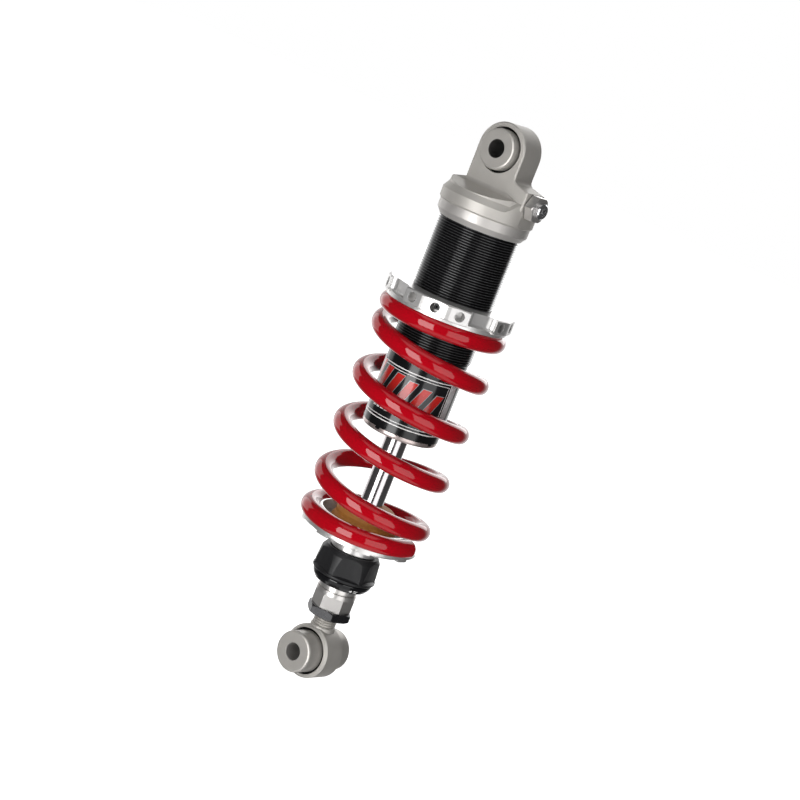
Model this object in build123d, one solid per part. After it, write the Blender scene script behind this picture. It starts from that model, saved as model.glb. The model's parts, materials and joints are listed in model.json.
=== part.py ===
"""Rear shock absorber of a motorcycle: a gas damper inside a coil spring with a preload ring.

Millimetres. The origin is the centre of the lower eye's bolt bore, +Z runs up the damper to the upper eye,
the bolt bores lie along Y, and the gas valve is on the +X side.
"""
from build123d import *
import math
import os

# Overall layout
EYE_TO_EYE = 315.0
FIT = 0.05                      # radial clearance of parts that slide or are screwed together

# Damper body
BORE_R = 20.0
TUBE_R = 23.0
TUBE_LOW, TUBE_HIGH = 144.2, 284.0
THREAD_LOW = 193.0
THREAD_R, THREAD_PITCH, THREAD_DEPTH = 24.0, 1.5, 0.92
THREAD_ROOT_R = THREAD_R - THREAD_DEPTH
KEY_TAB_LOW, KEY_TAB_HALF = 143.0, 1.5
LABEL_LOW, LABEL_HIGH, LABEL_R = 148.8, 181.5, 23.2

# Top cap
CAP_R, CAP_LOW, CAP_SHOULDER = 28.2, 278.0, 284.6
CAP_SPIGOT_LOW = 274.0
CAP_BEVEL_R, CAP_BEVEL_Z = 25.9, 288.3
CAP_RIM_R, CAP_RIM_Z = 25.3, 291.7
CAP_CONE_R, CAP_CONE_Z = 14.0, 295.1
CAP_END_X = 27.5
UPPER_EYE_R, BLADE_HALF = 16.0, 9.1
SHELF_HIGH, SHELF_LOW = 301.6, 299.2    # beside the eye and at the valve's face
SLOPE_TOP_Z, SLOPE_DROP, SLOPE_REACH = 292.5, 4.0, 17.2
VALVE_Z = 292.0

# Preload ring
RING_LOW, RING_HIGH, RING_R = 218.3, 227.2, 38.6
RING_FACE_TURN = 23.3           # degrees from -Y towards +X of the first group of flats
GROUP_COUNT = 4
CENTRE_FLAT_SPAN = 10.25        # degrees each side of a flat's middle
SIDE_FLAT_TURN, SIDE_FLAT_SPAN = 21.9, 8.1
SCALLOP_FLOOR_R, SCALLOP_HALF, SCALLOP_LOW, SCALLOP_COVE = 34.0, 9.5, 219.5, 1.5
RING_LIP_R = 36.8
HOOK_HOLE_R, HOOK_HOLE_DEPTH, HOOK_HOLE_STEP = 2.9, 7.0, 22.5

# Spring
WIRE_R, COIL_R = 5.35, 33.35
SPRING_LOW, SPRING_HIGH = 78.5, 216.7
DEAD_PITCH, ACTIVE_PITCH = 1.5, 31.0
TOP_RAMP = (0.05, 0.70)         # turns over which the pitch opens
LOW_RAMP = (4.19, 4.78)         # turns over which it closes
WIRE_START, WIRE_END = -0.27, 5.17
TOP_COIL_Z = 211.9
COIL_FRONT = math.radians(34.2)

# Piston rod and piston
ROD_R, ROD_LOW, ROD_SHOULDER, ROD_TIP = 7.0, 50.0, 172.0, 196.0
ROD_STUD_R, ROD_BORE_R = 4.0, 1.6
PISTON_LOW, PISTON_HIGH, PISTON_R = 174.0, 186.0, 19.5
HEAD_LOW, HEAD_HIGH = 148.8, 165.0
END_CAP_LOW = 141.1
FLOAT_LOW, FLOAT_HIGH = 250.0, 262.0
RING_SECTION_R = 0.86           # O-ring section radius

# Lower end
SEAT_FLANGE_R, SEAT_LOW, SEAT_FLOOR, SEAT_TOP = 35.3, 74.4, 80.0, 86.4
LAND_LOW, LAND_HIGH, LAND_INNER_R, LAND_WIDTH = 75.2, 76.6, 31.0, 8.0
LAND_TURN = 44.0                # degrees from -Y towards +X of the first of eight lands
SEAT_SPIGOT_R, SEAT_CUP_R = 27.9, 26.5
BOSS_R, BOSS_LOW = 13.9, 66.2
KNOB_LOW, KNOB_HIGH = 50.0, 66.1
FLUTE_TURN = 42.0               # degrees from -Y towards +X of the first of six finger flats
FLUTE_CORNERS = ((-24.4, 18.5), (-8.0, 17.2), (8.0, 17.2), (24.4, 18.5), (30.0, 20.0))  # degrees, radius
FITTING_R, FITTING_LOW, HEX_HIGH, COLLAR_HIGH = 10.0, 28.8, 37.6, 44.0
HEX_FLATS, HEX_TURN = 20.8, 34.2
NUT_LOW, NUT_FLATS, NUT_TURN = 23.7, 24.0, 17.2
STUD_R, STUD_TIP = 7.0, 43.0
LOWER_EYE_R, LOWER_EYE_HALF = 16.2, 8.4
PIN_Z = 56.0

# Eye bearings
BOLT_R = 5.1
RACE_HALF, CIRCLIP_LOW, CIRCLIP_HIGH = 4.6, 4.65, 5.8
BALL_R, BALL_HALF = 9.4, 6.6
UPPER_HOLE_R, UPPER_GROOVE_R, UPPER_SPACER_R, UPPER_BUSH = 13.2, 14.3, 11.8, 27.4
LOWER_HOLE_R, LOWER_GROOVE_R, LOWER_SPACER_R, LOWER_BUSH = 13.9, 14.9, 12.4, 39.4


def turned(points):
    """A solid turned about Z from its (radius, height) outline."""
    outline = Polyline(*[(r, 0, z) for r, z in points], close=True)
    return revolve(make_face(outline), Axis.Z, 360)


def disc(radius, low, high):
    return Pos(0, 0, low) * extrude(Circle(radius), high - low)


def ring(outer, inner, low, high):
    return Pos(0, 0, low) * extrude(Circle(outer) - Circle(inner), high - low)


def hexagon(flats, low, high, turn=0.0):
    face = RegularPolygon(flats / 2, 6, major_radius=False)
    return Pos(0, 0, low) * Rot(0, 0, turn) * extrude(face, high - low)


def o_ring(radius, height):
    """An O-ring whose outer edge stands at the given radius."""
    return Pos(0, 0, height) * Torus(radius - RING_SECTION_R, RING_SECTION_R)


def snap_ring(outer, inner, low, high, gap=4.0):
    """A retaining ring, open at one side."""
    opening = Pos((outer + inner) / 2, 0, (low + high) / 2) * Box(2 * (outer - inner), gap, high - low)
    return ring(outer, inner, low, high) - opening


def along_y(shape):
    """Turn a shape made about Z so that its +Z faces -Y."""
    return Rot(90, 0, 0) * shape


def along_x(shape):
    return Rot(0, 90, 0) * shape


def thread_outline(radius, depth, pitch, low, high):
    """Grooved outline, one vee to a pitch, standing in for a helical thread."""
    points = []
    for k in range(int((high - low) / pitch)):
        z = low + k * pitch
        points += [(radius - depth, z), (radius, z + 0.4 * pitch), (radius, z + 0.55 * pitch)]
    return points


# Damper body ------------------------------------------------------------------------------------

def make_damper_tube():
    """Black body: plain below, threaded above, with a retaining ring groove and four key tabs."""
    thread = thread_outline(THREAD_R, THREAD_DEPTH, THREAD_PITCH, THREAD_LOW, TUBE_HIGH - 1.0)
    body = turned(
        [(BORE_R, TUBE_LOW), (TUBE_R, TUBE_LOW), (TUBE_R, THREAD_LOW - 1.0)]
        + thread
        + [(THREAD_ROOT_R, TUBE_HIGH), (BORE_R, TUBE_HIGH), (BORE_R, 148.75), (21.3, 148.75), (21.3, 147.55),
           (BORE_R, 147.55)]
    )
    tab = Pos(0, 0, KEY_TAB_LOW) * extrude(Circle(TUBE_R) - Circle(21.0), TUBE_LOW - KEY_TAB_LOW)
    for turn in (0, 90):
        bar = Rot(0, 0, turn) * Pos(0, 0, KEY_TAB_LOW + 0.6) * Box(60, 2 * KEY_TAB_HALF, 1.2)
        body += tab & bar
    return body


def make_end_cap():
    """Bright rounded cap below the body, slotted for the body's key tabs."""
    cap = turned([
        (10.5, END_CAP_LOW), (21.0, END_CAP_LOW), (22.2, END_CAP_LOW + 0.5), (22.8, END_CAP_LOW + 1.5),
        (22.8, TUBE_LOW), (BORE_R - FIT, TUBE_LOW), (BORE_R - FIT, 147.5), (10.5, 147.5),
    ])
    slot = Pos(0, 0, KEY_TAB_LOW - FIT) * extrude(Circle(25) - Circle(20.95), TUBE_LOW - KEY_TAB_LOW + FIT)
    for turn in (0, 90):
        bar = Rot(0, 0, turn) * Pos(0, 0, KEY_TAB_LOW + 0.5) * Box(60, 2 * KEY_TAB_HALF + 0.2, 1.4)
        cap -= slot & bar
    return cap


def make_seal_head():
    """Rod guide: seal pocket below, guide bush seat above, O-ring groove outside."""
    r = BORE_R - FIT
    return turned([
        (11.1, HEAD_LOW), (r, HEAD_LOW), (r, 158.0), (18.2, 158.0), (18.2, 160.0), (r, 160.0), (r, HEAD_HIGH),
        (8.55, HEAD_HIGH), (8.55, 157.0), (7.6, 157.0), (7.6, 154.2), (11.1, 154.2),
    ])


def make_floating_piston():
    """Cup that parts the gas from the oil, hollow on its gas side."""
    r = BORE_R - FIT
    return turned([
        (0, FLOAT_LOW), (r, FLOAT_LOW), (r, 255.0), (18.2, 255.0), (18.2, 257.0), (r, 257.0), (r, FLOAT_HIGH),
        (15.0, FLOAT_HIGH), (15.0, FLOAT_LOW + 4.0), (0, FLOAT_LOW + 4.0),
    ])


# Top cap ----------------------------------------------------------------------------------------

def cap_slope_cutter():
    """What is milled off in front of the blade: a plane that falls away, with a fillet at its root."""
    slope = SLOPE_DROP / SLOPE_REACH
    outline = Polyline(
        (0, -BLADE_HALF, 305), (0, -BLADE_HALF, SLOPE_TOP_Z),
        (0, -40, SLOPE_TOP_Z - slope * (40 - BLADE_HALF)), (0, -40, 305), close=True,
    )
    face = make_face(outline)
    root = face.vertices().sort_by(Axis.Y)[-2:].sort_by(Axis.Z)[0]
    return extrude(fillet(root, 2.8), 45, both=True, dir=(1, 0, 0))


def cap_side_boss():
    """Full-height part of the rim near the valve, wider towards its foot."""
    top, foot = 294.0, 283.0
    half = [(8.9, top), (8.9, 292.0), (11.7, 289.6), (13.8, 287.3), (15.7, 285.6), (17.3, 284.8),
            (18.6, CAP_SHOULDER), (18.6, foot)]
    outline = [(0, y, z) for y, z in half] + [(0, -y, z) for y, z in reversed(half)]
    prism = extrude(make_face(Polyline(*outline, close=True)), 32, dir=(1, 0, 0))
    return prism & disc(CAP_R, CAP_SHOULDER, top)


def cap_blade():
    """Upright plate that carries the eye, with the side shoulder that carries the gas valve."""
    r, foot = UPPER_EYE_R, 288.0
    outline = [
        Line((-r, 0, foot), (-r, 0, EYE_TO_EYE)),
        ThreePointArc((-r, 0, EYE_TO_EYE), (0, 0, EYE_TO_EYE + r), (r, 0, EYE_TO_EYE)),
        Line((r, 0, EYE_TO_EYE), (r, 0, SHELF_HIGH)),
        Line((r, 0, SHELF_HIGH), (CAP_END_X, 0, SHELF_LOW)),
        Line((CAP_END_X, 0, SHELF_LOW), (CAP_END_X, 0, foot)),
        Line((CAP_END_X, 0, foot), (-r, 0, foot)),
    ]
    face = make_face(outline)
    corner = face.vertices().sort_by_distance((r, 0, SHELF_HIGH))[0]
    blade = extrude(fillet(corner, 3.0), BLADE_HALF, both=True, dir=(0, 1, 0))
    return chamfer(blade.faces().filter_by(Axis.Y).edges(), 0.7)


def make_top_cap():
    """Machined head: screwed on the body, closed by a spigot, with the upper eye and the gas passage."""
    r = BORE_R - FIT
    body = turned([
        (0, CAP_SPIGOT_LOW), (r, CAP_SPIGOT_LOW), (r, 275.6), (18.2, 275.6), (18.2, 277.6), (r, 277.6),
        (r, TUBE_HIGH + 0.2), (THREAD_R + FIT, TUBE_HIGH + 0.2), (THREAD_R + FIT, CAP_LOW), (27.2, CAP_LOW),
        (CAP_R, CAP_LOW + 1.0), (CAP_R, CAP_SHOULDER), (CAP_BEVEL_R, CAP_BEVEL_Z), (CAP_RIM_R, CAP_RIM_Z),
        (CAP_CONE_R, CAP_CONE_Z), (0, CAP_CONE_Z),
    ])
    body += cap_side_boss()
    cutter = cap_slope_cutter()
    body -= cutter
    body -= mirror(cutter, Plane.XZ)
    body += cap_blade()
    body -= Pos(CAP_END_X + 10, 0, 290) * Box(20, 80, 40)
    hole = along_y(disc(UPPER_HOLE_R, -20, 20))
    groove = along_y(disc(UPPER_GROOVE_R, CIRCLIP_LOW - FIT, CIRCLIP_HIGH + FIT))
    eye = hole + groove + mirror(groove, Plane.XZ)
    body -= Pos(0, 0, EYE_TO_EYE) * eye
    passage = along_x(disc(1.5, 0, 18) + disc(5.05, 17, 40))
    body -= Pos(0, 0, VALVE_Z) * passage
    body -= disc(1.5, CAP_SPIGOT_LOW - 1, VALVE_Z)
    return body


def make_cap_lock_ring():
    return turned([
        (THREAD_R + FIT, 269.6), (24.7, 269.6), (27.2, 273.0), (27.2, CAP_LOW), (THREAD_R + FIT, CAP_LOW),
    ])


def make_valve_body():
    """Hexagon plug with a short shank in the cap's side."""
    head = hexagon(14.0, 28.0, 33.3, 30)
    shape = disc(5.0, 19.0, 28.0) + head
    shape &= turned([(0, 0), (8.1, 0), (8.1, 32.7), (7.4, 33.3), (0, 33.3)])
    return Pos(0, 0, VALVE_Z) * along_x(shape - disc(1.55, 0, 40) - disc(2.55, 25, 40))


def make_valve_screw():
    """Chrome socket screw that closes the valve."""
    head = turned([(0, 33.3), (4.7, 33.3), (4.7, 35.3), (4.0, 36.0), (0, 36.0)])
    shape = head + disc(2.5, 25.5, 33.3) - hexagon(4.0, 33.9, 37)
    return Pos(0, 0, VALVE_Z) * along_x(shape)


# Preload ring -----------------------------------------------------------------------------------

def on_ring(shape, degrees):
    """Put a shape made at -Y on the ring, at an angle towards +X."""
    return Rot(0, 0, degrees) * shape


def ring_flat(degrees, span):
    """What is milled off the rim to leave a flat, whose edges stand span degrees from its middle."""
    reach = RING_R * math.cos(math.radians(span))
    return on_ring(Pos(0, -reach - 10, (RING_LOW + RING_HIGH) / 2) * Box(30, 20, 20), degrees)


def ring_scallop():
    """Slot between two groups of flats, with coved corners, and the lip below it."""
    face = Pos(0, -SCALLOP_FLOOR_R - 6) * RectangleRounded(2 * SCALLOP_HALF, 12, 4.5)
    face += Pos(0, -SCALLOP_FLOOR_R - 10) * Rectangle(2 * SCALLOP_HALF, 8)
    slot = Pos(0, 0, SCALLOP_LOW) * extrude(face, 20)
    slot = fillet(slot.edges().group_by(Axis.Z)[0], SCALLOP_COVE)
    skirt = ring(45, RING_LIP_R, RING_LOW - 1, SCALLOP_LOW + 0.01)
    return slot + (skirt & Pos(0, -40, SCALLOP_LOW) * Box(2 * SCALLOP_HALF, 20, 20))


def make_preload_ring():
    """Castellated ring: groups of three drilled flats with a scallop between the groups."""
    blank = turned([(0, RING_LOW), (37.4, RING_LOW), (RING_R, RING_LOW + 0.6), (RING_R, RING_HIGH - 0.8),
                    (37.4, RING_HIGH), (0, RING_HIGH)])
    scallop = ring_scallop()
    middle = (RING_LOW + RING_HIGH) / 2
    hole = Pos(0, 0, middle) * along_y(disc(HOOK_HOLE_R, 36 - HOOK_HOLE_DEPTH, 45))
    for group in range(GROUP_COUNT):
        centre = RING_FACE_TURN + group * 360 / GROUP_COUNT
        blank -= ring_flat(centre, CENTRE_FLAT_SPAN)
        blank -= ring_flat(centre - SIDE_FLAT_TURN, SIDE_FLAT_SPAN)
        blank -= ring_flat(centre + SIDE_FLAT_TURN, SIDE_FLAT_SPAN)
        blank -= on_ring(scallop, centre + 45)
        for step in (-HOOK_HOLE_STEP, 0, HOOK_HOLE_STEP):
            blank -= on_ring(hole, centre + step)
    screw_way = along_y(disc(2.05, THREAD_R - 2, 40))
    blank -= on_ring(Pos(0, 0, middle) * screw_way, RING_FACE_TURN)
    return blank - disc(THREAD_R + 0.1, RING_LOW - 1, RING_HIGH + 1)


def make_preload_grub_screw():
    shape = along_y(disc(2.0, THREAD_R + 0.15, 31.0) - hexagon(2.0, 29.0, 32.0))
    return on_ring(Pos(0, 0, (RING_LOW + RING_HIGH) / 2) * shape, RING_FACE_TURN)


def make_preload_seat():
    """Thrust washer with a short spigot that centres the spring."""
    return turned([
        (THREAD_R + 0.2, 212.5), (27.2, 212.5), (27.8, 213.1), (27.8, SPRING_HIGH), (36.6, SPRING_HIGH),
        (36.6, RING_LOW), (THREAD_R + 0.2, RING_LOW),
    ])


# Spring -----------------------------------------------------------------------------------------

def ramp_drop(turn, start, end, before, after):
    """Height lost from turn zero when the pitch changes evenly between start and end."""
    if turn <= start:
        return before * turn
    inside = min(turn, end) - start
    drop = before * start + before * inside + (after - before) * inside ** 2 / (2 * (end - start))
    return drop + after * max(turn - end, 0.0)


def coil_height(turn):
    middle = 2.5
    if turn <= middle:
        return TOP_COIL_Z - ramp_drop(turn, *TOP_RAMP, DEAD_PITCH, ACTIVE_PITCH)
    upper = ramp_drop(middle, *TOP_RAMP, DEAD_PITCH, ACTIVE_PITCH)
    start, end = LOW_RAMP[0] - middle, LOW_RAMP[1] - middle
    return TOP_COIL_Z - upper - ramp_drop(turn - middle, start, end, ACTIVE_PITCH, DEAD_PITCH)


def make_coil_spring():
    """Left-hand wire coil with closed ends, ground flat top and bottom."""
    steps = int((WIRE_END - WIRE_START) * 12)
    points = []
    for k in range(steps + 1):
        turn = WIRE_START + (WIRE_END - WIRE_START) * k / steps
        angle = COIL_FRONT - math.pi / 2 + 2 * math.pi * turn
        points.append((COIL_R * math.cos(angle), COIL_R * math.sin(angle), coil_height(turn)))
    path = Spline(*points)
    wire = sweep(Plane(origin=path @ 0, z_dir=path % 0) * Circle(WIRE_R), path=path, is_frenet=True)
    height = SPRING_HIGH - SPRING_LOW
    return wire & Pos(0, 0, SPRING_LOW + height / 2) * Box(100, 100, height)


# Rod and piston ---------------------------------------------------------------------------------

def adjuster_slot(reach, high_half):
    return Pos(0, 0, PIN_Z) * Box(2 * reach, 2.7, 2 * high_half)


def make_piston_rod():
    """Chromed hollow rod with a thinner threaded stud for the piston and a slot for the adjuster pin."""
    shape = turned([
        (ROD_BORE_R, ROD_LOW), (ROD_R - 0.6, ROD_LOW), (ROD_R, ROD_LOW + 0.6), (ROD_R, ROD_SHOULDER - 0.4),
        (ROD_R - 0.4, ROD_SHOULDER), (ROD_STUD_R, ROD_SHOULDER), (ROD_STUD_R, ROD_TIP), (ROD_BORE_R, ROD_TIP),
    ])
    cross_port = Pos(0, 0, 170.9) * along_y(disc(0.6, -10, 10))
    return shape - adjuster_slot(10, 3.6) - cross_port


def shim_stack(low, sizes, thickness):
    """Thin plates of falling size, on one another."""
    stack = None
    for k, radius in enumerate(sizes):
        plate = ring(radius, ROD_STUD_R + FIT, low + k * thickness, low + (k + 1) * thickness)
        stack = plate if stack is None else stack + plate
    return stack


def make_piston():
    """Piston with six oil ports and a groove for its sliding band."""
    shape = turned([
        (ROD_STUD_R + FIT, PISTON_LOW), (PISTON_R, PISTON_LOW), (PISTON_R, 177.0), (18.6, 177.0),
        (18.6, 183.0), (PISTON_R, 183.0), (PISTON_R, PISTON_HIGH), (ROD_STUD_R + FIT, PISTON_HIGH),
    ])
    for k in range(6):
        shape -= Rot(0, 0, 60 * k) * Pos(14.5, 0, PISTON_LOW - 1) * extrude(Circle(1.8), 20)
    return shape


def make_piston_nut():
    nut = hexagon(13.0, 188.0, 194.5)
    nut &= turned([(0, 188.0), (7.4, 188.0), (7.4, 193.8), (6.4, 194.5), (0, 194.5)])
    return nut - disc(ROD_STUD_R + FIT, 180, 200)


def make_rebound_needle():
    """Push rod through the rod's bore, tapered where it meets the cross port."""
    low = PIN_Z + 1.25
    return turned([(0, low), (ROD_BORE_R - FIT, low), (ROD_BORE_R - FIT, 168.0), (0.3, 171.0), (0, 171.0)])


def make_adjuster_pin():
    return Pos(0, 0, PIN_Z) * along_x(disc(1.25, -12, 12))


# Lower end --------------------------------------------------------------------------------------

def make_bump_stop():
    """Tapered foam bumper with a shallow waist."""
    return turned([
        (7.6, SEAT_FLOOR), (19.8, SEAT_FLOOR), (20.0, 82.5), (19.2, 84.5), (18.2, 86.0), (18.4, 88.0),
        (17.6, 91.0), (15.6, 94.2), (14.4, 95.0), (7.6, 95.0),
    ])


def make_lower_spring_seat():
    """Cup on the rod's end fitting: spring flange, centring spigot and eight lands underneath."""
    seat = turned([
        (ROD_R + 0.1, BOSS_LOW), (BOSS_R - 0.5, BOSS_LOW), (BOSS_R, BOSS_LOW + 0.5), (BOSS_R, 73.2),
        (15.2, SEAT_LOW), (LAND_INNER_R - 0.4, SEAT_LOW), (LAND_INNER_R, SEAT_LOW + 0.4),
        (LAND_INNER_R, LAND_LOW), (SEAT_FLANGE_R, LAND_LOW), (SEAT_FLANGE_R, SPRING_LOW),
        (SEAT_SPIGOT_R, SPRING_LOW), (SEAT_SPIGOT_R, SEAT_TOP - 0.6), (SEAT_SPIGOT_R - 0.5, SEAT_TOP),
        (SEAT_CUP_R, SEAT_TOP), (SEAT_CUP_R, SEAT_FLOOR), (ROD_R + 0.1, SEAT_FLOOR),
    ])
    relief = ring(40, LAND_INNER_R, LAND_LOW - 1, LAND_HIGH)
    for k in range(4):
        relief -= Rot(0, 0, LAND_TURN + 45 * k) * Pos(0, 0, LAND_LOW) * Box(LAND_WIDTH, 90, 4)
    return seat - relief


def fluted_prism():
    """Prism with six finger flats, each of three facets; its outer corners stand beyond the knob."""
    corners = []
    for k in range(6):
        for step, radius in FLUTE_CORNERS:
            angle = math.radians(FLUTE_TURN - 90 + 60 * k + step)
            corners.append((radius * math.cos(angle), radius * math.sin(angle)))
    return Pos(0, 0, KNOB_LOW) * extrude(make_face(Polyline(*corners, close=True)), 20)


def make_rebound_knob():
    """Adjuster knob: six finger flats over a flared rim, and a hollow for the pin's groove."""
    grip = turned([
        (0, KNOB_LOW), (18.6, KNOB_LOW), (19.3, 50.9), (19.3, 51.6), (18.8, 52.4), (18.7, 55.5), (18.2, 61.0),
        (18.0, 63.4), (16.2, KNOB_HIGH), (0, KNOB_HIGH),
    ])
    rim = turned([
        (0, KNOB_LOW), (18.6, KNOB_LOW), (19.3, 50.9), (19.3, 51.6), (18.5, 52.0), (16.6, 53.1), (0, 53.1),
    ])
    hollow = turned([
        (0, KNOB_LOW - 1), (FITTING_R + FIT, KNOB_LOW - 1), (FITTING_R + FIT, 51.5), (12.6, 51.5),
        (12.6, 60.5), (FITTING_R + FIT, 60.5), (FITTING_R + FIT, 64.6), (12.4, 64.6), (12.4, 70), (0, 70),
    ])
    return (grip & fluted_prism()) + rim - hollow


def make_knob_index_ring():
    return turned([
        (FITTING_R + FIT, COLLAR_HIGH), (14.2, COLLAR_HIGH), (15.9, 44.7), (17.6, 47.0), (18.2, 48.8),
        (18.2, 49.3), (17.8, 49.8), (17.8, KNOB_LOW), (FITTING_R + FIT, KNOB_LOW),
    ])


def make_rod_end():
    """End fitting: hexagon, grooved collar and a sleeve that carries the spring seat and the knob."""
    sleeve = turned([
        (0, HEX_HIGH), (12.1, HEX_HIGH), (12.1, 40.3), (10.8, 40.4), (10.8, 40.8), (11.65, 40.9),
        (11.65, COLLAR_HIGH), (FITTING_R, COLLAR_HIGH), (FITTING_R, 65.0), (9.0, 65.0), (9.0, 66.0),
        (FITTING_R, 66.0), (FITTING_R, BOSS_LOW), (ROD_R + FIT, BOSS_LOW), (ROD_R + FIT, ROD_LOW),
        (0, ROD_LOW),
    ])
    rounding = turned([
        (0, FITTING_LOW), (11.2, FITTING_LOW), (12.1, FITTING_LOW + 0.6), (12.1, 36.9), (11.4, HEX_HIGH),
        (0, HEX_HIGH),
    ])
    shape = sleeve + (hexagon(HEX_FLATS, FITTING_LOW, HEX_HIGH, HEX_TURN) & rounding)
    shape -= disc(STUD_R + FIT, FITTING_LOW - 1, 49.0)
    shape -= adjuster_slot(16, 3.6)
    return shape - Pos(0, 0, 62.8) * along_y(disc(1.45, 6.9, 12))


def make_lock_nut():
    nut = hexagon(NUT_FLATS, NUT_LOW, FITTING_LOW, NUT_TURN)
    nut &= turned([
        (0, NUT_LOW), (12.4, NUT_LOW), (13.8, NUT_LOW + 0.8), (13.8, FITTING_LOW - 0.8), (12.4, FITTING_LOW),
        (0, FITTING_LOW),
    ])
    return nut - disc(STUD_R + FIT, NUT_LOW - 1, FITTING_LOW + 1)


def make_lower_eye():
    """Eye on a threaded stud."""
    barrel = along_y(disc(LOWER_EYE_R, -LOWER_EYE_HALF, LOWER_EYE_HALF))
    barrel = chamfer(barrel.edges().filter_by(GeomType.CIRCLE), 1.4)
    thread = thread_outline(STUD_R, 0.9, THREAD_PITCH, 17.7, STUD_TIP - 0.5)
    neck = turned([(0, 10), (7.6, 10), (7.6, 16.7), (7.2, 17.1), (6.1, 17.5)]
                  + thread + [(6.1, STUD_TIP), (0, STUD_TIP)])
    shape = barrel + (neck & Box(40, 2 * LOWER_EYE_HALF, 100))
    hole = along_y(disc(LOWER_HOLE_R, -20, 20))
    groove = along_y(disc(LOWER_GROOVE_R, CIRCLIP_LOW - FIT, CIRCLIP_HIGH + FIT))
    return shape - hole - groove - mirror(groove, Plane.XZ)


# Eye bearings -----------------------------------------------------------------------------------

def make_race(hole_radius):
    outer = along_y(disc(hole_radius - 0.03, -RACE_HALF, RACE_HALF))
    return outer - Sphere(BALL_R + FIT)


def make_ball():
    ball = Sphere(BALL_R) & Box(30, 2 * BALL_HALF, 30)
    return ball - along_y(disc(BOLT_R + 1.0, -20, 20))


def make_circlips(groove_radius):
    front = along_y(snap_ring(groove_radius - 0.1, 11.3, CIRCLIP_LOW, CIRCLIP_HIGH))
    return Compound([front, mirror(front, Plane.XZ)])


def make_spacer(radius, bush_length):
    """Front spacer: sleeve in the ball, neck, and a flange that fills the gap to the frame."""
    half = bush_length / 2
    return along_y(turned([
        (BOLT_R, 0), (BOLT_R + 1.0 - 0.02, 0), (BOLT_R + 1.0 - 0.02, BALL_HALF), (8.4, BALL_HALF), (8.4, 7.2),
        (radius, 7.2), (radius, half - 1.2), (radius - 0.35, half - 0.35), (radius - 1.2, half),
        (BOLT_R + 0.35, half), (BOLT_R, half - 0.35),
    ]))


def eye_parts(prefix, height, hole_radius, groove_radius, spacer_radius, bush_length):
    at = Pos(0, 0, height)
    spacer = make_spacer(spacer_radius, bush_length)
    return {
        prefix + "_bearing_race": at * make_race(hole_radius),
        prefix + "_bearing_ball": at * make_ball(),
        prefix + "_circlips": at * make_circlips(groove_radius),
        prefix + "_spacer_front": at * spacer,
        prefix + "_spacer_rear": at * mirror(spacer, Plane.XZ),
    }


parts = {
    "damper_tube": make_damper_tube(),
    "body_label": ring(LABEL_R, TUBE_R + 0.02, LABEL_LOW, LABEL_HIGH),
    "end_cap": make_end_cap(),
    "wiper_seal": ring(10.45, ROD_R + 0.03, 142.2, 147.4),
    "head_circlip": snap_ring(21.2, 18.4, 147.6, 148.7),
    "seal_head": make_seal_head(),
    "rod_seal": ring(11.05, ROD_R + 0.03, 149.0, 154.0),
    "guide_bush": ring(8.5, ROD_R + 0.03, 157.2, HEAD_HIGH),
    "head_o_ring": o_ring(BORE_R - 0.02, 159.0),
    "top_out_bumper": ring(11.5, ROD_R + 0.1, HEAD_HIGH, 169.5),
    "floating_piston": make_floating_piston(),
    "floating_piston_seal": o_ring(BORE_R - 0.02, 256.0),
    "top_cap": make_top_cap(),
    "cap_lock_ring": make_cap_lock_ring(),
    "cap_o_ring": o_ring(BORE_R - 0.02, 276.6),
    "gas_valve_seal": Pos(0, 0, VALVE_Z) * along_x(ring(6.9, 5.1, CAP_END_X, 28.0)),
    "gas_valve_body": make_valve_body(),
    "gas_valve_screw": make_valve_screw(),
    "preload_ring": make_preload_ring(),
    "preload_grub_screw": make_preload_grub_screw(),
    "preload_seat": make_preload_seat(),
    "coil_spring": make_coil_spring(),
    "piston_rod": make_piston_rod(),
    "compression_shims": shim_stack(172.0, (10.0, 13.0, 15.5, 17.5), 0.5),
    "piston": make_piston(),
    "piston_band": ring(BORE_R - 0.03, 18.65, 177.05, 182.95),
    "rebound_shims": shim_stack(PISTON_HIGH, (17.5, 15.5, 13.0, 10.0), 0.5),
    "piston_nut": make_piston_nut(),
    "rebound_needle": make_rebound_needle(),
    "adjuster_pin": make_adjuster_pin(),
    "bump_stop": make_bump_stop(),
    "lower_spring_seat": make_lower_spring_seat(),
    "rebound_knob": make_rebound_knob(),
    "knob_index_ring": make_knob_index_ring(),
    "knob_circlip": snap_ring(12.0, 9.05, 65.05, 65.95),
    "detent_ball": Pos(0, -8.55, 62.8) * Sphere(1.4),
    "rod_end": make_rod_end(),
    "lock_nut": make_lock_nut(),
    "lower_eye": make_lower_eye(),
}
parts |= eye_parts("upper", EYE_TO_EYE, UPPER_HOLE_R, UPPER_GROOVE_R, UPPER_SPACER_R, UPPER_BUSH)
parts |= eye_parts("lower", 0.0, LOWER_HOLE_R, LOWER_GROOVE_R, LOWER_SPACER_R, LOWER_BUSH)

os.makedirs("parts", exist_ok=True)
for name, shape in parts.items():
    shape.label = name
    export_step(shape, f"parts/{name}.step")
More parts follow.
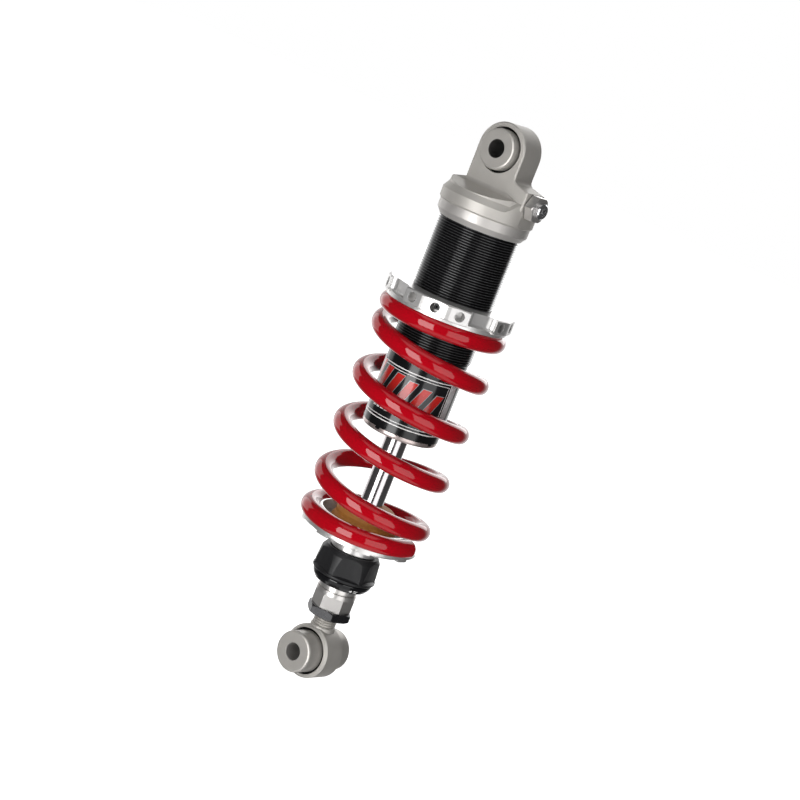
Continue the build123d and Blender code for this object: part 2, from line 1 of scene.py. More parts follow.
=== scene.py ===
"""Looks of the rear shock absorber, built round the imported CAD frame. Metres, +Z up, bolt bores along Y."""
import json
import math
import bmesh
import bpy
from mathutils import Matrix, Vector
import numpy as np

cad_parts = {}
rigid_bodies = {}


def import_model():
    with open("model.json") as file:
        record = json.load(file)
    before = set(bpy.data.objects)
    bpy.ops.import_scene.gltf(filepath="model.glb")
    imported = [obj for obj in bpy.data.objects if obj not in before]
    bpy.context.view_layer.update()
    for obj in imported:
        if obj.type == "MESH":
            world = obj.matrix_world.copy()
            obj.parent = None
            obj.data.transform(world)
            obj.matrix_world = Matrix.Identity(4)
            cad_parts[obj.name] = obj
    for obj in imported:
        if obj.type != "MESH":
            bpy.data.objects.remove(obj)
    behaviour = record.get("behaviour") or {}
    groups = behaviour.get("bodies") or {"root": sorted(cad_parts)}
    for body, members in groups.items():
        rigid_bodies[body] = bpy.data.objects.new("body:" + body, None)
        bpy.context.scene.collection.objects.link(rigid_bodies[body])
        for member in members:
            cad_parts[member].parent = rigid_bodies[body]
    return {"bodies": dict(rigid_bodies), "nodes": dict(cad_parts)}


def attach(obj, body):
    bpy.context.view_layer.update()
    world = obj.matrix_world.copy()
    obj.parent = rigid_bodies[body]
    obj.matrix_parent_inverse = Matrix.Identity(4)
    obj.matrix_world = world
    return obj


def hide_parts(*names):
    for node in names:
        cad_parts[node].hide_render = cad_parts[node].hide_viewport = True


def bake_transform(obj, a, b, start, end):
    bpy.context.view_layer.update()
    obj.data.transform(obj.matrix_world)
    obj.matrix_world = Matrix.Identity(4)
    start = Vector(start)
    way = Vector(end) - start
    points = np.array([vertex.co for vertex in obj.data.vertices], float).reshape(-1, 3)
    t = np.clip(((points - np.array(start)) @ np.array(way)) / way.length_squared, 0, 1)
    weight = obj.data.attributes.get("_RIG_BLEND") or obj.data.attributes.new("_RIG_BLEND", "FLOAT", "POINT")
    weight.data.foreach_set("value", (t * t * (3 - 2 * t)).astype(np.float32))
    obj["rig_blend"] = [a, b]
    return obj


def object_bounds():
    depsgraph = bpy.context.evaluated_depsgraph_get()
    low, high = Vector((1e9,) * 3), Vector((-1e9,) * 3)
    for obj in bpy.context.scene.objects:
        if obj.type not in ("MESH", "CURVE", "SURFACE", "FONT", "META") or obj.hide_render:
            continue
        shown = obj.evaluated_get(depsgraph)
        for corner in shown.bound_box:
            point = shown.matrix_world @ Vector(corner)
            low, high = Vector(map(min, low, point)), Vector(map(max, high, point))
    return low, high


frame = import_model()
cad_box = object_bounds()

MM = 0.001
VIEW_AZIMUTH = math.radians(34.16)      # camera's direction from the object, from -Y towards +X
VIEW_HEIGHT = math.radians(11.13)
EDGE = 0.00018                          # radius that sharp edges appear to have
SHARP_ANGLE = math.radians(32.0)        # faces that meet at more than this stay sharp
ROUND_SEGMENTS = 144                    # steps in one turn of the body tube


# Mesh helpers ------------------------------------------------------------------------------------

def piece_from(name, verts, faces):
    """A mesh object from points in millimetres, smooth except where faces meet at a sharp angle."""
    mesh = bpy.data.meshes.new(name)
    mesh.from_pydata([(x * MM, y * MM, z * MM) for x, y, z in verts], [], faces)
    piece = bpy.data.objects.new(name, mesh)
    bpy.context.scene.collection.objects.link(piece)
    tidy_mesh(piece)
    return piece


def tidy_mesh(piece):
    """Weld doubles, make normals point outwards and mark sharp edges."""
    work = bmesh.new()
    work.from_mesh(piece.data)
    bmesh.ops.remove_doubles(work, verts=work.verts, dist=2e-7)
    bmesh.ops.dissolve_degenerate(work, edges=work.edges, dist=1e-7)
    bmesh.ops.recalc_face_normals(work, faces=work.faces)
    work.to_mesh(piece.data)
    work.free()
    piece.data.shade_smooth()
    piece.data.set_sharp_from_angle(angle=SHARP_ANGLE)


def rounded(points, radii, steps=6):
    """A closed outline whose corners are arcs; radii gives one radius for each point."""
    count, result = len(points), []
    for k, point in enumerate(points):
        corner, radius = Vector(point), radii[k]
        before = Vector(points[k - 1]) - corner
        after = Vector(points[(k + 1) % count]) - corner
        if radius <= 0:
            result.append(tuple(corner))
            continue
        half = before.angle(after) / 2
        setback = min(radius / math.tan(half), 0.49 * before.length, 0.49 * after.length)
        radius = setback * math.tan(half)
        middle = corner + (before.normalized() + after.normalized()).normalized() * radius / math.sin(half)
        start = corner + before.normalized() * setback - middle
        end = corner + after.normalized() * setback - middle
        sweep = start.angle_signed(end)
        for step in range(steps + 1):
            turn = -sweep * step / steps
            result.append((
                middle.x + start.x * math.cos(turn) - start.y * math.sin(turn),
                middle.y + start.x * math.sin(turn) + start.y * math.cos(turn),
            ))
    return result


def about_z(r, angle, h):
    return r * math.sin(angle), -r * math.cos(angle), h


def turn_outline(outline):
    """Points and faces of a closed (radius, height) outline turned once round the Z axis."""
    rows, segments = len(outline), ROUND_SEGMENTS
    verts = [about_z(r, 2 * math.pi * k / segments, h) for k in range(segments) for r, h in outline]
    faces = []
    for k in range(segments):
        here, there = k * rows, (k + 1) % segments * rows
        for j in range(rows):
            after = (j + 1) % rows
            faces.append((here + j, there + j, there + after, here + after))
    return verts, faces


# Material helpers --------------------------------------------------------------------------------

class Nodes:
    """A short way to write a material's nodes."""

    def __init__(self, name):
        self.material = bpy.data.materials.new(name)
        self.material.use_nodes = True
        self.tree = self.material.node_tree
        self.shader = self.tree.nodes["Principled BSDF"]
        self.place = self.add("ShaderNodeTexCoord").outputs["Object"]

    def add(self, kind, inputs=(), **settings):
        node = self.tree.nodes.new(kind)
        for key, value in settings.items():
            setattr(node, key, value)
        for key, value in dict(inputs).items():
            self.put(node, key, value)
        return node

    def put(self, node, key, value):
        socket = node.inputs[key]
        if isinstance(value, bpy.types.NodeSocket):
            self.tree.links.new(value, socket)
        else:
            socket.default_value = value

    def set(self, **inputs):
        for key, value in inputs.items():
            self.put(self.shader, key.replace("_", " "), value)

    def math(self, operation, a, b=0.0):
        return self.add("ShaderNodeMath", {0: a, 1: b}, operation=operation).outputs[0]

    def noise(self, scale, detail=3.0, vector=None):
        inputs = {"Vector": vector or self.place, "Scale": scale, "Detail": detail}
        return self.add("ShaderNodeTexNoise", inputs).outputs[0]

    def between(self, value, low, high, start=0.3, end=0.7):
        node = self.add("ShaderNodeMapRange", {0: value, 1: start, 2: end, 3: low, 4: high})
        return node.outputs[0]

    def tint(self, value, low, high):
        node = self.add("ShaderNodeMix", {0: value, 6: (*low, 1), 7: (*high, 1)}, data_type="RGBA")
        return node.outputs[2]

    def bump(self, height, distance, strength, edge=0.0):
        """Surface grain; edge rounds off the look of sharp corners by a radius in metres."""
        node = self.add("ShaderNodeBump", {"Height": height, "Distance": distance, "Strength": strength})
        if edge > 0:
            self.put(node, "Normal", self.add("ShaderNodeBevel", {"Radius": edge}, samples=4).outputs[0])
        return node.outputs[0]

    def around(self, axis="Z", height=0.0):
        """Coordinates that follow the tool marks of a turned piece: radius and place along its axis."""
        x, y, z = self.add("ShaderNodeSeparateXYZ", {0: self.place}).outputs
        if axis == "Y":
            y, z = self.math("SUBTRACT", z, height), y
        radius = self.math("SQRT", self.math("ADD", self.math("POWER", x, 2.0), self.math("POWER", y, 2.0)))
        return self.add("ShaderNodeCombineXYZ", {0: radius, 1: z}).outputs[0]


def scaled(color, factor):
    return tuple(min(1.0, c * factor) for c in color)


def turned_metal(name, color, rough, lines=0.5, spread=0.05, metallic=1.0):
    """Metal with fine concentric tool marks, faint stains and uneven gloss."""
    n = Nodes(name)
    marks = n.noise(5200.0, 2.0, vector=n.around())
    broad = n.noise(90.0, 3.0)
    n.set(
        Metallic=metallic,
        Base_Color=n.tint(n.between(broad, 0, 1), scaled(color, 0.95), scaled(color, 1.04)),
        Roughness=n.between(n.noise(240.0), rough - spread, rough + spread),
        Normal=n.bump(marks, 0.000012, lines, EDGE),
    )
    return n.material


def blasted_metal(name, color, rough, grain, metallic, spread=0.05):
    """Bead-blasted or satin metal: a fine even grain that softens every reflection."""
    n = Nodes(name)
    fine = n.noise(3600.0)
    broad = n.noise(120.0, 4.0)
    n.set(
        Metallic=metallic,
        Base_Color=n.tint(n.between(broad, 0, 1), scaled(color, 0.95), scaled(color, 1.03)),
        Roughness=n.between(fine, rough - spread, rough + spread),
        Normal=n.bump(fine, 0.00002, grain, EDGE),
    )
    return n.material


def coated(name, color, rough, coat=0.0, grain_scale=2500.0, grain=0.2, metallic=0.0, specular=0.5):
    """Paint, plastic, rubber or anodising: slight colour change, uneven gloss and a fine surface grain."""
    n = Nodes(name)
    fine = n.noise(grain_scale)
    broad = n.noise(70.0, 4.0)
    n.set(
        Metallic=metallic,
        Base_Color=n.tint(n.between(broad, 0, 1), scaled(color, 0.88), scaled(color, 1.1)),
        Roughness=n.between(n.noise(300.0), rough - 0.04, rough + 0.04),
        Normal=n.bump(fine, 0.00002, grain, EDGE),
        Specular_IOR_Level=specular,
        Coat_Weight=coat,
        Coat_Roughness=0.03,
    )
    return n.material


def thread_black():
    """Black anodising with a painted highlight: the crests of the thread are painted a lighter grey."""
    painted_highlight_from, painted_highlight_full = 0.02362, 0.02398
    n = Nodes("thread_black")
    radius = n.add("ShaderNodeSeparateXYZ", {0: n.around()}).outputs[0]
    # Painted highlight: the thread crests get a lighter grey colour, broken up by noise
    crest = n.between(radius, 0.0, 1.0, painted_highlight_from, painted_highlight_full)
    painted_crest_highlight = n.math("MULTIPLY", crest, n.between(n.noise(700.0), 0.5, 1.0))
    n.set(
        Base_Color=n.tint(painted_crest_highlight, (0.004, 0.004, 0.0045), (0.050, 0.050, 0.052)),
        Roughness=n.between(n.noise(300.0), 0.14, 0.22),
        Normal=n.bump(n.noise(4000.0), 0.00002, 0.1),
    )
    return n.material


def spacer_metal(name, height, painted_bore_shade):
    """Turned aluminium whose bolt bore is painted darker and less metallic than its faces, as painted shade
    inside the bore.
    """
    bore_wall, face_from = 0.00530, 0.00550
    n = Nodes(name)
    around = n.around("Y", height)
    radius = n.add("ShaderNodeSeparateXYZ", {0: around}).outputs[0]
    # Painted shade: inside the bolt bore the colour darkens and the metal look drops
    bore = n.between(radius, 1.0, 0.0, bore_wall, face_from)
    n.set(
        Metallic=n.math("SUBTRACT", 0.5, n.math("MULTIPLY", bore, 0.4)),
        Base_Color=n.tint(bore, (0.50, 0.48, 0.45), painted_bore_shade),
        Roughness=n.between(n.noise(240.0), 0.36, 0.46),
        Normal=n.bump(n.noise(5200.0, 2.0, vector=around), 0.000012, 0.4, EDGE),
    )
    return n.material


def spring_paint():
    """Deep red powder coat under clear lacquer, with a slight orange peel."""
    dark_red, light_red = (0.375, 0.0003, 0.0062), (0.405, 0.0004, 0.0070)
    n = Nodes("spring_paint")
    peel = n.noise(420.0, 1.5)
    speck = n.noise(5000.0, 2.0)
    n.set(
        Base_Color=n.tint(n.between(n.noise(60.0), 0, 1), dark_red, light_red),
        Roughness=n.between(speck, 0.30, 0.42),
        Specular_IOR_Level=0.0,
        Normal=n.bump(speck, 0.000006, 0.4),
        Coat_Weight=1.0,
        Coat_Roughness=0.02,
        Coat_IOR=1.5,
        Coat_Normal=n.bump(peel, 0.00003, 0.12),
    )
    return n.material


MATERIALS = {
    "spring_paint": spring_paint(),
    "cap_aluminium": blasted_metal("cap_aluminium", (0.50, 0.48, 0.45), 0.50, 0.3, metallic=0.5),
    "cap_turned": turned_metal("cap_turned", (0.54, 0.52, 0.50), 0.45, lines=0.5, metallic=0.6),
    # The dark colours given to the two spacers are painted shade inside their bolt bores
    "upper_spacer": spacer_metal("upper_spacer", 0.315, (0.040, 0.038, 0.036)),
    "lower_spacer": spacer_metal("lower_spacer", 0.0, (0.22, 0.21, 0.20)),
    "thread_black": thread_black(),
    "bright_aluminium": turned_metal("bright_aluminium", (0.74, 0.73, 0.72), 0.34, lines=0.5, metallic=0.8),
    "milled_aluminium": blasted_metal("milled_aluminium", (0.68, 0.67, 0.66), 0.34, 0.04, metallic=0.75),
    "rosy_aluminium": turned_metal("rosy_aluminium", (0.62, 0.53, 0.51), 0.30, lines=0.4, metallic=0.85),
    "hard_chrome": turned_metal("hard_chrome", (0.62, 0.58, 0.59), 0.15, lines=0.1, spread=0.02),
    "valve_chrome": turned_metal("valve_chrome", (0.80, 0.80, 0.81), 0.10, lines=0.1, spread=0.02),
    "satin_steel": blasted_metal("satin_steel", (0.70, 0.68, 0.66), 0.33, 0.004, metallic=0.88, spread=0.01),
    "black_anodised": coated("black_anodised", (0.006, 0.006, 0.0065), 0.18, grain_scale=4000.0, grain=0.1,
                             specular=0.6),
    "black_oxide": coated("black_oxide", (0.022, 0.022, 0.024), 0.26, metallic=0.5, grain=0.3),
    "spring_steel": turned_metal("spring_steel", (0.10, 0.10, 0.105), 0.40),
    "dark_steel": coated("dark_steel", (0.012, 0.012, 0.012), 0.50, metallic=0.3, grain=0.2, specular=0.2),
    "knob_plastic": coated("knob_plastic", (0.010, 0.010, 0.011), 0.40, grain_scale=3000.0, grain=0.4,
                           specular=0.4),
    "index_ring_black": coated("index_ring_black", (0.005, 0.005, 0.006), 0.09, grain=0.05),
    "bumper_foam": coated("bumper_foam", (0.56, 0.24, 0.045), 0.62, grain_scale=900.0, grain=0.8),
    "seal_rubber": coated("seal_rubber", (0.020, 0.020, 0.021), 0.55, grain=0.4),
    "bush_bronze": turned_metal("bush_bronze", (0.50, 0.33, 0.17), 0.30),
    "piston_band": coated("piston_band", (0.16, 0.09, 0.05), 0.50),
    "label_foil": coated("label_foil", (0.70, 0.70, 0.71), 0.26, coat=0.6, metallic=0.3, grain=0.05),
    "label_black": coated("label_black", (0.006, 0.006, 0.007), 0.20, coat=0.6, grain=0.03, specular=0.3),
    "label_white": coated("label_white", (0.78, 0.78, 0.77), 0.25, coat=0.6, grain=0.03),
    "label_pale": coated("label_pale", (0.30, 0.36, 0.37), 0.25, coat=0.6, grain=0.03),
    "label_red": coated("label_red", (0.50, 0.012, 0.008), 0.25, coat=0.6, grain=0.03),
}


def paint(piece, material):
    """Give a piece, or a CAD node, one of the materials."""
    piece.data.materials.clear()
    piece.data.materials.append(MATERIALS[material])
    return piece


def fit_on(piece, body, material, node):
    """Finish a piece that stands for a CAD node."""
    paint(piece, material)
    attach(piece, body)
    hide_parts(node)


# Spring ------------------------------------------------------------------------------------------

COIL_R, WIRE_R = 33.35, 5.35
SPRING_LOW, SPRING_HIGH = 78.5, 216.7       # ground ends
WIRE_START, WIRE_END = -0.27, 5.17          # turns
TOP_COIL_Z, DEAD_PITCH, ACTIVE_PITCH = 211.9, 1.5, 31.0
TOP_RAMP, LOW_RAMP = (0.05, 0.70), (4.19, 4.78)     # turns over which the pitch changes
MIDDLE_TURN = 2.5
COIL_FRONT = math.radians(34.2)             # where turn zero is
WIRE_STEPS, WIRE_SIDES = 620, 36
SPRING_SHARP = math.radians(50)


def ramp_drop(turn, start, end, before, after):
    """Height lost from turn zero when the pitch changes evenly between start and end."""
    if turn <= start:
        return before * turn
    inside = min(turn, end) - start
    drop = before * start + before * inside + (after - before) * inside ** 2 / (2 * (end - start))
    return drop + after * max(turn - end, 0.0)


def coil_height(turn):
    """Height of the wire's centre: the top ramp counts down from turn zero, the low one from the middle."""
    if turn <= MIDDLE_TURN:
        return TOP_COIL_Z - ramp_drop(turn, *TOP_RAMP, DEAD_PITCH, ACTIVE_PITCH)
    upper = ramp_drop(MIDDLE_TURN, *TOP_RAMP, DEAD_PITCH, ACTIVE_PITCH)
    start, end = (ramp_turn - MIDDLE_TURN for ramp_turn in LOW_RAMP)
    low = ramp_drop(turn - MIDDLE_TURN, start, end, ACTIVE_PITCH, DEAD_PITCH)
    return TOP_COIL_Z - upper - low


def coil_point(turn):
    angle = COIL_FRONT + 2 * math.pi * turn
    return Vector((COIL_R * math.sin(angle), -COIL_R * math.cos(angle), coil_height(turn)))


def make_spring():
    """Round wire swept down the coil, flat where its closed ends are ground."""
    steps, sides = WIRE_STEPS, WIRE_SIDES
    verts, shares = [], []
    top, low = coil_height(TOP_RAMP[0]), coil_height(LOW_RAMP[1])
    for k in range(steps + 1):
        turn = WIRE_START + (WIRE_END - WIRE_START) * k / steps
        centre = coil_point(turn)
        along = (coil_point(turn + 0.001) - coil_point(turn - 0.001)).normalized()
        out = Vector((centre.x, centre.y, 0)).normalized()
        up = along.cross(out).normalized()
        share = min(max((top - centre.z) / (top - low), 0.0), 1.0)
        for j in range(sides):
            angle = 2 * math.pi * j / sides
            point = centre + WIRE_R * (math.cos(angle) * out + math.sin(angle) * up)
            point.z = min(max(point.z, SPRING_LOW), SPRING_HIGH)
            verts.append(tuple(point))
            shares.append(share)
    faces = []
    for k in range(steps):
        for j in range(sides):
            a, b = k * sides + j, k * sides + (j + 1) % sides
            faces.append((a, b, b + sides, a + sides))
    faces.append(tuple(range(sides)))
    faces.append(tuple(steps * sides + j for j in reversed(range(sides))))
    mesh = bpy.data.meshes.new("red_coil_spring")
    mesh.from_pydata([(x * MM, y * MM, z * MM) for x, y, z in verts], [], faces)
    mesh.shade_smooth()
    mesh.set_sharp_from_angle(angle=SPRING_SHARP)
    spring = bpy.data.objects.new("red_coil_spring", mesh)
    bpy.context.scene.collection.objects.link(spring)
    spring.visible_glossy = False           # keeps crossing red stripes off the chromed rod
    paint(spring, "spring_paint")
    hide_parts("coil_spring")
    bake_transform(spring, "damper_body", "rod_assembly",
             start=(0, 0, SPRING_HIGH * MM), end=(0, 0, SPRING_LOW * MM))
    mesh.attributes["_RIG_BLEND"].data.foreach_set("value", shares)
    seat = spring.vertex_groups.new(name="follows_preload_seat")
    for index, share in enumerate(shares):
        seat.add([index], 1.0 - share, "REPLACE")
    hook = spring.modifiers.new("preload", "HOOK")
    hook.object = frame["bodies"]["preload_seat_group"]
    hook.vertex_group = seat.name


# Damper body -------------------------------------------------------------------------------------

def thread_surface(low, high, crest, depth, pitch):
    """Grid of a true right-hand thread: each row climbs one pitch in a turn and is cut off at both ends."""
    shape = ((0.0, 1.0), (0.08, 1.0), (0.42, 0.12), (0.50, 0.0), (0.58, 0.12), (0.92, 1.0))     # pitch, rise
    segments = ROUND_SEGMENTS
    turns = int((high - low) / pitch) + 2
    verts = []
    for k in range(segments + 1):
        angle = 2 * math.pi * k / segments
        for row in range(-1, turns):
            for part, rise in shape:
                z = low + (row + part + k / segments) * pitch
                fade = min(1.0, max(0.0, (z - low) / pitch)) * min(1.0, max(0.0, (high - z) / pitch))
                r = crest - depth * (1 - rise * fade)
                verts.append((r * math.sin(angle), -r * math.cos(angle), min(max(z, low), high)))
    rows = (turns + 1) * len(shape)
    faces = []
    for k in range(segments):
        for j in range(rows - 1):
            a = k * rows + j
            faces.append((a, a + rows, a + rows + 1, a + 1))
    return verts, faces


def join_parts(name, parts):
    """One object from several closed shells, each given as (points, faces)."""
    verts, faces = [], []
    for part_verts, part_faces in parts:
        base = len(verts)
        verts += part_verts
        faces += [tuple(base + i for i in face) for face in part_faces]
    return piece_from(name, verts, faces)


def make_damper_tube():
    """Body tube: threaded above, plain below, bored through, with half-round key tabs at its lower end."""
    crest, depth, pitch, bore, plain = 24.0, 0.92, 1.5, 20.0, 22.99
    low, thread_low, thread_high, high = 144.2, 192.6, 283.6, 284.0
    root, chamfer, corner = crest - depth, 0.4, 0.25
    thread = thread_surface(thread_low, thread_high, crest, depth, pitch)
    outline = rounded(
        [(root, thread_low), (plain, thread_low - chamfer), (plain, low), (bore, low), (bore, high),
         (root, high), (root, thread_high)],
        [0, 0, corner, corner, 0, 0, 0],
    )
    rows = len(outline)
    verts, faces = turn_outline(outline)
    thread_gap = {0, rows - 1}              # the thread closes the tube between these rows
    faces = [f for f in faces if {f[0] % rows, f[3] % rows} != thread_gap]
    tabs = [half_round_tab(azimuth, plain, low) for azimuth in (0, 90, 180, 270)]
    return join_parts("threaded_damper_tube", [thread, (verts, faces), *tabs])


def half_round_tab(azimuth, radius, top):
    """A small half-round key that hangs from the tube's lower edge."""
    half_width, drop, thickness, overlap, steps = 1.55, 0.75, 1.6, 0.02, 10
    outline = []
    for k in range(steps + 1):
        around = math.pi * k / steps
        outline.append((half_width * math.cos(around), -half_width * drop * math.sin(around)))
    verts = []
    for r in (radius, radius - thickness):
        for u, v in outline:
            verts.append(about_z(r, math.radians(azimuth) + u / radius, top + v + overlap))
    count = steps + 1
    faces = [tuple(range(count)), tuple(reversed(range(count, 2 * count)))]
    faces += [(k, k + count, (k + 1) % count + count, (k + 1) % count) for k in range(count)]
    return verts, faces


# Printed label and dial marks --------------------------------------------------------------------

# Heights and borders are in millimetres; places round the body are in degrees right of VIEW_TURN.
VIEW_TURN = math.degrees(VIEW_AZIMUTH)
FILM = 0.03                                 # thickness of one printed layer
LABEL_R, LABEL_LOW, LABEL_HIGH = 23.2, 148.8, 181.5
LABEL_LEFT, LABEL_RIGHT, LABEL_CORNER = -112.0, 54.0, 2.4
SEAM_RIGHT, SEAM_LEFT = 12, 2               # bare foil between the front and rear panels
BAR_STARTS = range(-96, 15, 22)             # left edges of the red bars
BAR_WIDTH, BAR_LEAN, BAR_BORDER = 13, 18.0, 0.38
BAR_LOW, BAR_TOP = 158.6, 176.6
BAR_FALL, BAR_MIDDLE = 0.07, -34            # bars get this much shorter for each degree to the right
BLOCK_LOW, BLOCK_HIGH, DASH_HIGH = 154.6, 156.2, 155.8
BLOCK_STARTS, BLOCK_WIDTH = (-58, -50, -42, -34), 6
RING_LOW, RING_HEIGHT = 44.7, 2.3           # index ring below the knob, a cone
RING_LOW_R, RING_FLARE = 15.9, 1.7
DIAL_PRINT = 0.05


def wrapped(rows, radius, thickness, columns):
    """Closed thin patch bent round Z, from rows of (height, left, right); radius is a function of height."""
    verts, count = [], columns + 1
    for lift in (thickness, 0.0):
        for height, left, right in rows:
            for c in range(count):
                angle = math.radians(VIEW_TURN + left + (right - left) * c / columns)
                verts.append(about_z(radius(height) + lift, angle, height))
    side, last = len(rows) * count, len(rows) - 1
    faces = []
    for j in range(last):
        for c in range(columns):
            a = j * count + c
            faces.append((a, a + 1, a + 1 + count, a + count))
            faces.append((side + a, side + a + count, side + a + 1 + count, side + a + 1))
        for a in (j * count, j * count + columns):
            faces.append((a, a + count, side + a + count, side + a))
    for c in range(columns):
        for a in (c, last * count + c):
            faces.append((a, a + 1, side + a + 1, side + a))
    return verts, faces


def film(rows, layer, columns=20):
    """A printed patch of the label; layer 0 lies on the foil and each layer on the one below."""
    return wrapped(rows, lambda height: LABEL_R + layer * FILM, FILM, columns)


def block(low, high, left, right, columns=4):
    return film([(low, left, right), (high, left, right)], 1, columns)


def panel_rows(low, high, left, right):
    """Rows of an upright panel with quarter circles at its corners."""
    rows = []
    steps = 6
    for k in range(steps + 1):
        rise = LABEL_CORNER * (1 - math.cos(math.pi / 2 * k / steps))
        cut = math.degrees(LABEL_CORNER * (1 - math.sin(math.pi / 2 * k / steps)) / LABEL_R)
        rows.append((low + rise, left + cut, right - cut))
    return rows + [(high - (z - low), a, b) for z, a, b in reversed(rows)]


def frame_line(low, high, left, right, width):
    """Four strips that make a thin printed frame."""
    across = math.degrees(width / LABEL_R)
    return [
        block(low, low + width, left, right, 80),
        block(high - width, high, left, right, 80),
        block(low + width, high - width, left, left + across, 2),
        block(low + width, high - width, right - across, right, 2),
    ]


def slanted(low, high, left, grow=0.0):
    """Rows of a bar that leans to the right as it rises; grow widens it on every side by so many mm."""
    edge, steps = math.degrees(grow / LABEL_R), 16
    low, high = low - grow, high + grow
    rows = []
    for k in range(steps + 1):
        share = k / steps
        start = left + BAR_LEAN * share
        rows.append((low + (high - low) * share, start - edge, start + BAR_WIDTH + edge))
    return rows


def printed(name, patches, material):
    piece = paint(join_parts(name, patches), material)
    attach(piece, "damper_body")
    return piece


def make_label():
    """Black printed foil with a double keyline, a row of leaning red bars and plain blocks; no lettering."""
    left, right, low, high = LABEL_LEFT, LABEL_RIGHT, LABEL_LOW, LABEL_HIGH
    front = film(panel_rows(low, high, left, right), 0, 80)
    rear = film(panel_rows(low, high, right + SEAM_RIGHT, 360 + left - SEAM_LEFT), 0, 90)
    printed("label_black_panels", [front, rear], "label_black")
    outer = frame_line(low + 0.1, high - 0.1, left + 1, right - 0.6, 0.62)
    inner = frame_line(low + 2.0, high - 1.9, left + 5, right - 5.0, 0.4)
    printed("label_keylines", outer + inner, "label_white")
    bars, outlines = [], []
    for start in BAR_STARTS:
        top = BAR_TOP - BAR_FALL * (start - BAR_MIDDLE)
        bars.append(film(slanted(BAR_LOW, top, start), 2))
        outlines.append(film(slanted(BAR_LOW, top, start, BAR_BORDER), 1))
    printed("label_bar_outlines", outlines, "label_pale")
    printed("label_red_bars", bars, "label_red")
    marks = [block(BLOCK_LOW, BLOCK_HIGH, start, start + BLOCK_WIDTH) for start in BLOCK_STARTS]
    marks.append(block(155.6, 156.8, -16, 11, 20))
    marks.append(block(BLOCK_LOW, DASH_HIGH, 21, 25))
    printed("label_white_blocks", marks, "label_white")
    printed("label_red_block", [block(BLOCK_LOW, DASH_HIGH, 15, 19.5)], "label_red")


def make_dial_marks():
    """White pointer and a plain double dash on the ring below the adjuster knob."""
    tip, end, base = 22.4, 28.3, 28.4       # the pointer's ends are cut off just before they are sharp
    dash_left, dash_right, dash_height = 32.5, 41.0, 0.65

    def cone(height):
        return RING_LOW_R + (height - RING_LOW) * RING_FLARE / RING_HEIGHT

    pointer = wrapped([(45.2, end, base), (46.2, tip, base), (47.2, end, base)], cone, DIAL_PRINT, 3)
    dashes = [
        wrapped([(z, dash_left, dash_right), (z + dash_height, dash_left, dash_right)], cone, DIAL_PRINT, 5)
        for z in (45.3, 46.5)
    ]
    marks = paint(join_parts("dial_marks", [pointer, *dashes]), "label_white")
    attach(marks, "rod_assembly")


# Studio ------------------------------------------------------------------------------------------

LIT_POINT = Vector((0, 0, 0.155))           # the lights face this
LIGHTS = (      # name, azimuth and elevation in degrees, distance, width, height in metres, radiance
    ("key_strip", 9.2, -2.5, 0.9, 0.449, 1.15, 5.2),
    ("fill_strip", 67.7, -2.5, 0.9, 0.637, 1.15, 1.7),
    ("top_panel", 34.0, 72.0, 1.0, 0.9, 0.7, 0.8),
    ("bounce_panel", 34.0, -76.0, 1.0, 1.2, 1.0, 0.7),
    ("left_panel", -98.0, 5.0, 1.2, 0.9, 1.0, 1.0),
    ("rear_panel", 200.0, 25.0, 1.2, 0.9, 0.9, 1.6),
)
WALL_DROP = 0.1                             # radians by which the wall's middle is below the horizon
WALL_EDGE, WALL_FULL = 0.66, 0.94           # cosines between which the wall goes from grey to white
STUDIO_GREY, WALL_WHITE = (0.07, 0.07, 0.07, 1), (1.1, 1.1, 1.1, 1)


def direction(azimuth, elevation):
    level = math.cos(elevation)
    return Vector((math.sin(azimuth) * level, -math.cos(azimuth) * level, math.sin(elevation)))


def make_camera():
    """A long lens a little above the middle, rolled so that the shock leans."""
    distance, roll, lens = 1.2116, math.radians(21.44), 94.4
    side_shift, aim_height = -0.00638, 0.1596
    back = direction(VIEW_AZIMUTH, VIEW_HEIGHT)
    right = Vector((math.cos(VIEW_AZIMUTH), math.sin(VIEW_AZIMUTH), 0))
    up = back.cross(right)
    across = right * math.cos(roll) + up * math.sin(roll)
    upright = up * math.cos(roll) - right * math.sin(roll)
    camera = bpy.data.objects.new("camera", bpy.data.cameras.new("camera"))
    camera.data.lens = lens
    camera.data.clip_start, camera.data.clip_end = 0.05, 50
    camera.matrix_world = Matrix((across, upright, back)).transposed().to_4x4()
    camera.location = Vector((0, 0, aim_height)) + right * side_shift + back * distance
    bpy.context.scene.collection.objects.link(camera)
    bpy.context.scene.camera = camera


def softbox(name, azimuth, elevation, distance, width, height, radiance):
    """An area light that faces the object, given by the brightness of its face."""
    light = bpy.data.lights.new(name, "AREA")
    light.shape = "RECTANGLE"
    light.size, light.size_y = width, height
    light.energy = radiance * math.pi * width * height
    lamp = bpy.data.objects.new(name, light)
    towards = direction(math.radians(azimuth), math.radians(elevation))
    lamp.location = LIT_POINT + towards * distance
    lamp.rotation_euler = (-towards).to_track_quat("-Z", "Y").to_euler()
    bpy.context.scene.collection.objects.link(lamp)


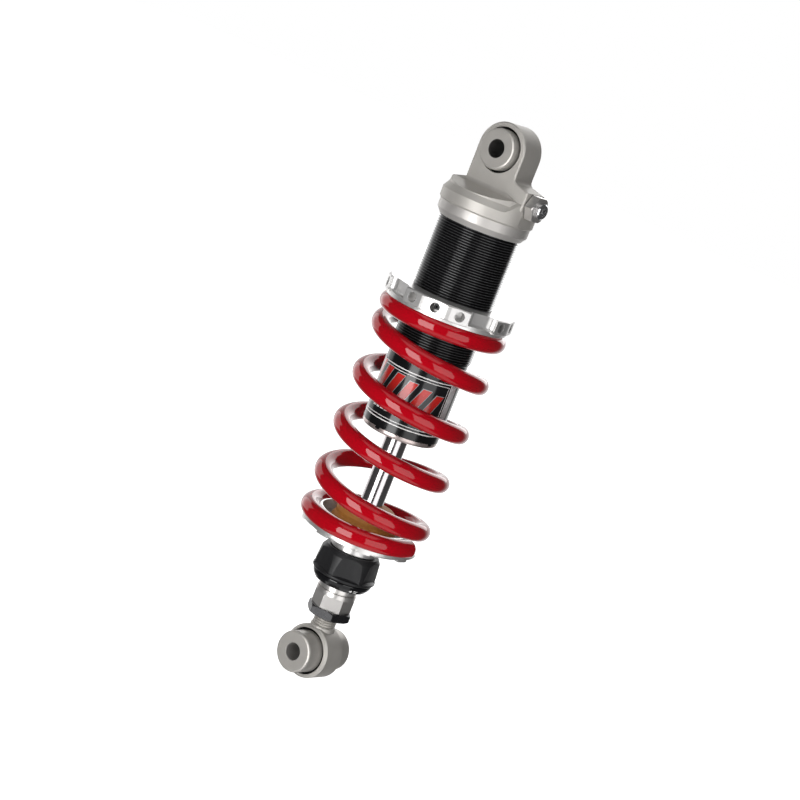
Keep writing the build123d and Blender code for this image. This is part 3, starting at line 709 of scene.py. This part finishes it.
def make_world():
    """White surroundings for the eye; in reflections a grey studio with a white wall behind the object."""
    world = bpy.data.worlds.new("studio")
    bpy.context.scene.world = world
    world.use_nodes = True
    tree = world.node_tree
    tree.nodes.clear()
    new, link = tree.nodes.new, tree.links.new
    place, facing, wall, mix = (new(k) for k in (
        "ShaderNodeTexCoord", "ShaderNodeVectorMath", "ShaderNodeMapRange", "ShaderNodeMix"))
    facing.operation = "DOT_PRODUCT"
    facing.inputs[1].default_value = -direction(VIEW_AZIMUTH, WALL_DROP)
    link(place.outputs["Generated"], facing.inputs[0])
    link(facing.outputs["Value"], wall.inputs[0])
    wall.interpolation_type = "SMOOTHSTEP"
    for key, value in {1: WALL_EDGE, 2: WALL_FULL, 3: 0.0, 4: 1.0}.items():
        wall.inputs[key].default_value = value
    mix.data_type = "RGBA"
    mix.inputs[6].default_value = STUDIO_GREY
    mix.inputs[7].default_value = WALL_WHITE
    link(wall.outputs[0], mix.inputs[0])
    seen, studio, path, choose, out = (new(k) for k in (
        "ShaderNodeBackground", "ShaderNodeBackground", "ShaderNodeLightPath", "ShaderNodeMixShader",
        "ShaderNodeOutputWorld"))
    seen.inputs[0].default_value = (1, 1, 1, 1)
    link(mix.outputs[2], studio.inputs[0])
    link(path.outputs["Is Camera Ray"], choose.inputs[0])
    link(studio.outputs[0], choose.inputs[1])
    link(seen.outputs[0], choose.inputs[2])
    link(choose.outputs[0], out.inputs[0])


def make_floor():
    """Pale floor just below the lower eye, seen by the camera only."""
    half, gap = 4.0, 0.012
    height = cad_box[0].z - gap
    corners = [(-half, -half, height), (half, -half, height), (half, half, height), (-half, half, height)]
    mesh = bpy.data.meshes.new("floor")
    mesh.from_pydata(corners, [], [(0, 1, 2, 3)])
    floor = bpy.data.objects.new("floor", mesh)
    n = Nodes("floor")
    n.set(Base_Color=(0.9, 0.9, 0.9, 1), Roughness=0.9, Emission_Color=(1, 1, 1, 1), Emission_Strength=0.95)
    floor.data.materials.append(n.material)
    floor.visible_glossy = floor.visible_diffuse = floor.visible_shadow = floor.visible_transmission = False
    bpy.context.scene.collection.objects.link(floor)


def make_studio():
    bpy.context.scene.view_settings.view_transform = "Standard"
    make_camera()
    make_world()
    make_floor()
    for light in LIGHTS:
        softbox(*light)


# Materials of the CAD nodes, the replaced ones too -----------------------------------------------

NODE_MATERIALS = {
    "cap_aluminium": ("top_cap", "lower_eye"),
    "cap_turned": ("cap_lock_ring",),
    "upper_spacer": ("upper_spacer_front", "upper_spacer_rear"),
    "lower_spacer": ("lower_spacer_front", "lower_spacer_rear"),
    "bright_aluminium": ("seal_head", "floating_piston", "preload_seat", "piston", "lower_spring_seat"),
    "milled_aluminium": ("preload_ring",),
    "rosy_aluminium": ("end_cap",),
    "hard_chrome": ("piston_rod",),
    "valve_chrome": ("gas_valve_screw",),
    "satin_steel": ("gas_valve_body", "piston_nut", "rebound_needle", "adjuster_pin", "detent_ball",
                    "rod_end"),
    "black_oxide": ("preload_grub_screw", "lock_nut"),
    "spring_steel": ("head_circlip", "compression_shims", "rebound_shims", "knob_circlip"),
    "dark_steel": ("upper_bearing_race", "upper_circlips", "lower_bearing_race", "lower_circlips",
                   "upper_bearing_ball", "lower_bearing_ball"),
    "knob_plastic": ("rebound_knob",),
    "index_ring_black": ("knob_index_ring",),
    "bumper_foam": ("bump_stop",),
    "seal_rubber": ("wiper_seal", "rod_seal", "head_o_ring", "top_out_bumper", "floating_piston_seal",
                    "cap_o_ring", "gas_valve_seal"),
    "bush_bronze": ("guide_bush",),
    "piston_band": ("piston_band",),
    "label_foil": ("body_label",),
    "black_anodised": ("damper_tube",),
    "spring_paint": ("coil_spring",),
}

for material, nodes in NODE_MATERIALS.items():
    for node in nodes:
        paint(frame["nodes"][node], material)

make_studio()
make_spring()
fit_on(make_damper_tube(), "damper_body", "thread_black", "damper_tube")
make_label()
make_dial_marks()
